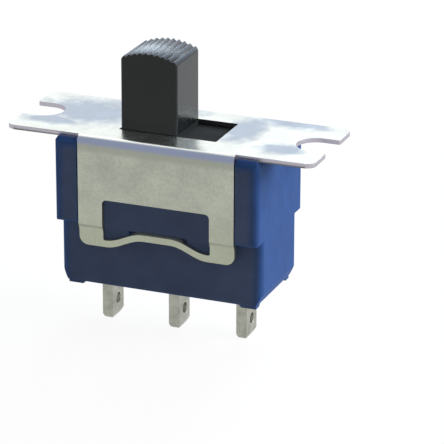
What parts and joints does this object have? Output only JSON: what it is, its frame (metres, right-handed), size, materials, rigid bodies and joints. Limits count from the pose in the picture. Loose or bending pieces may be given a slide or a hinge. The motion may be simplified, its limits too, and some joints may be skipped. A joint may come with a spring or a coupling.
{
  "type": "slide switch",
  "caption": "Miniature panel-mount slide switch: folded metal frame with slotted ears, blue moulded case, black ridged knob and solder lugs.",
  "frame": {"origin": "centre of the frame's top face, which seats against the back of the panel, in the middle of the knob's window", "axes": "+X along the knob's travel and the row of terminals, +Y across the frame, +Z out of the panel towards the knob"},
  "size_m": [0.0208, 0.008, 0.0189],
  "materials": {
    "plated_steel": "bright tin plate with a faint rolled grain",
    "blue_moulding": "semi-gloss moulded thermoset",
    "black_nylon": "semi-gloss moulded nylon",
    "spring_steel": "drawn wire",
    "plunger_plastic": "natural acetal",
    "copper_alloy": "rolled strip",
    "silver": "satin fine silver",
    "plated_terminal": "dull tin plate over copper alloy",
    "epoxy": "cast epoxy"
  },
  "bodies": {
    "switch_body": {"frame": "plated_steel", "case": "blue_moulding", "contact_left": "silver", "contact_right": "silver", "terminal_left": "plated_terminal", "terminal_centre": "plated_terminal", "terminal_right": "plated_terminal", "terminal_seal": "epoxy"},
    "slider": {"knob": "black_nylon", "contact_spring": "spring_steel", "plunger": "plunger_plastic"},
    "contact_rocker": {"rocker": "copper_alloy", "rocker_contact_left": "silver", "rocker_contact_right": "silver"}
  },
  "joints": [
    {"name": "knob_slide", "type": "slide", "parent": "switch_body", "child": "slider", "axis": [1, 0, 0], "range_m": [0, 0.00258]},
    {"name": "rocker_tilt", "type": "hinge", "parent": "switch_body", "child": "contact_rocker", "pos_m": [0, 0, -0.0079], "axis": [0, 1, 0], "range_deg": [0, 12]}
  ],
  "couplings": [
    {"joint": "rocker_tilt", "follows": "knob_slide", "rad_per_m": 81.17}
  ]
}
